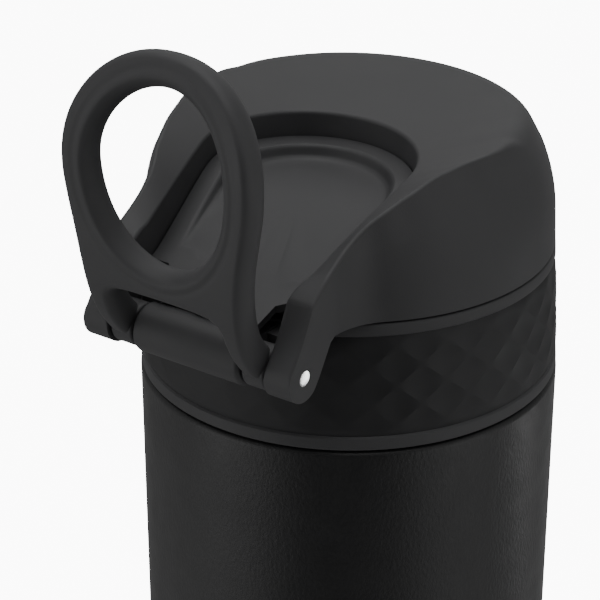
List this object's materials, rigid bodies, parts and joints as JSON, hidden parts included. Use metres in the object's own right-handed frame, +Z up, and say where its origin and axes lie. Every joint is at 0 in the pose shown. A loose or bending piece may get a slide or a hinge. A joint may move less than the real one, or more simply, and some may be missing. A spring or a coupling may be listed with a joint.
{
  "type": "insulated water bottle",
  "caption": "Insulated steel water bottle with a screw-on lid, a hinged flip cap over the spout, a faceted collar and a folding carry loop.",
  "frame": {"origin": "on the bottle's axis at the underside of the base", "axes": "+Z up along the bottle's axis; the hinge and the carry loop are on the -Y side, the drinking side is +Y, and the hinge pin runs along X"},
  "size_m": [0.0682, 0.0849, 0.2472],
  "materials": {
    "powder_coat": "black textured powder coat",
    "black_plastic": "fine moulded satin",
    "steel": "brushed",
    "silicone": "matt silicone",
    "port_braze": "dull braze"
  },
  "bodies": {
    "flask": {"outer_shell": "powder_coat", "inner_flask": "steel", "base_plate": "steel", "vacuum_port_seal": "port_braze", "getter_ring": "steel"},
    "seal": {"neck_gasket": "silicone"},
    "lid": {"collar": "black_plastic", "lid_base": "black_plastic", "hinge_pin": "steel", "hinge_spring": "steel", "latch_spring": "steel"},
    "cap": {"flip_cap": "black_plastic", "cap_dish": "black_plastic", "cap_liner": "black_plastic", "spout_seal": "silicone", "vent_pad": "silicone"},
    "loop": {"carry_loop": "black_plastic"},
    "button": {"latch_button": "black_plastic"}
  },
  "joints": [
    {"name": "lid_rise", "type": "slide", "parent": "flask", "child": "seal", "axis": [0, 0, 1], "range_m": [0, 0.0141]},
    {"name": "lid_turn", "type": "hinge", "parent": "seal", "child": "lid", "pos_m": [0, 0, 0.182], "axis": [0, 0, 1], "range_deg": [0, 720]},
    {"name": "cap_hinge", "type": "hinge", "parent": "lid", "child": "cap", "pos_m": [0, -0.0395, 0.1996], "axis": [1, 0, 0], "range_deg": [0, 100]},
    {"name": "loop_swing", "type": "hinge", "parent": "cap", "child": "loop", "pos_m": [0, -0.0395, 0.1996], "axis": [1, 0, 0], "range_deg": [-67, 60]},
    {"name": "latch_press", "type": "slide", "parent": "lid", "child": "button", "axis": [0, -1, 0], "range_m": [0, 0.001], "stiffness_N_per_m": 500, "springref_m": -0.002, "deforming": ["latch_spring"]}
  ],
  "couplings": [
    {"joint": "lid_rise", "follows": "lid_turn", "m_per_rad": 0.0011141}
  ]
}
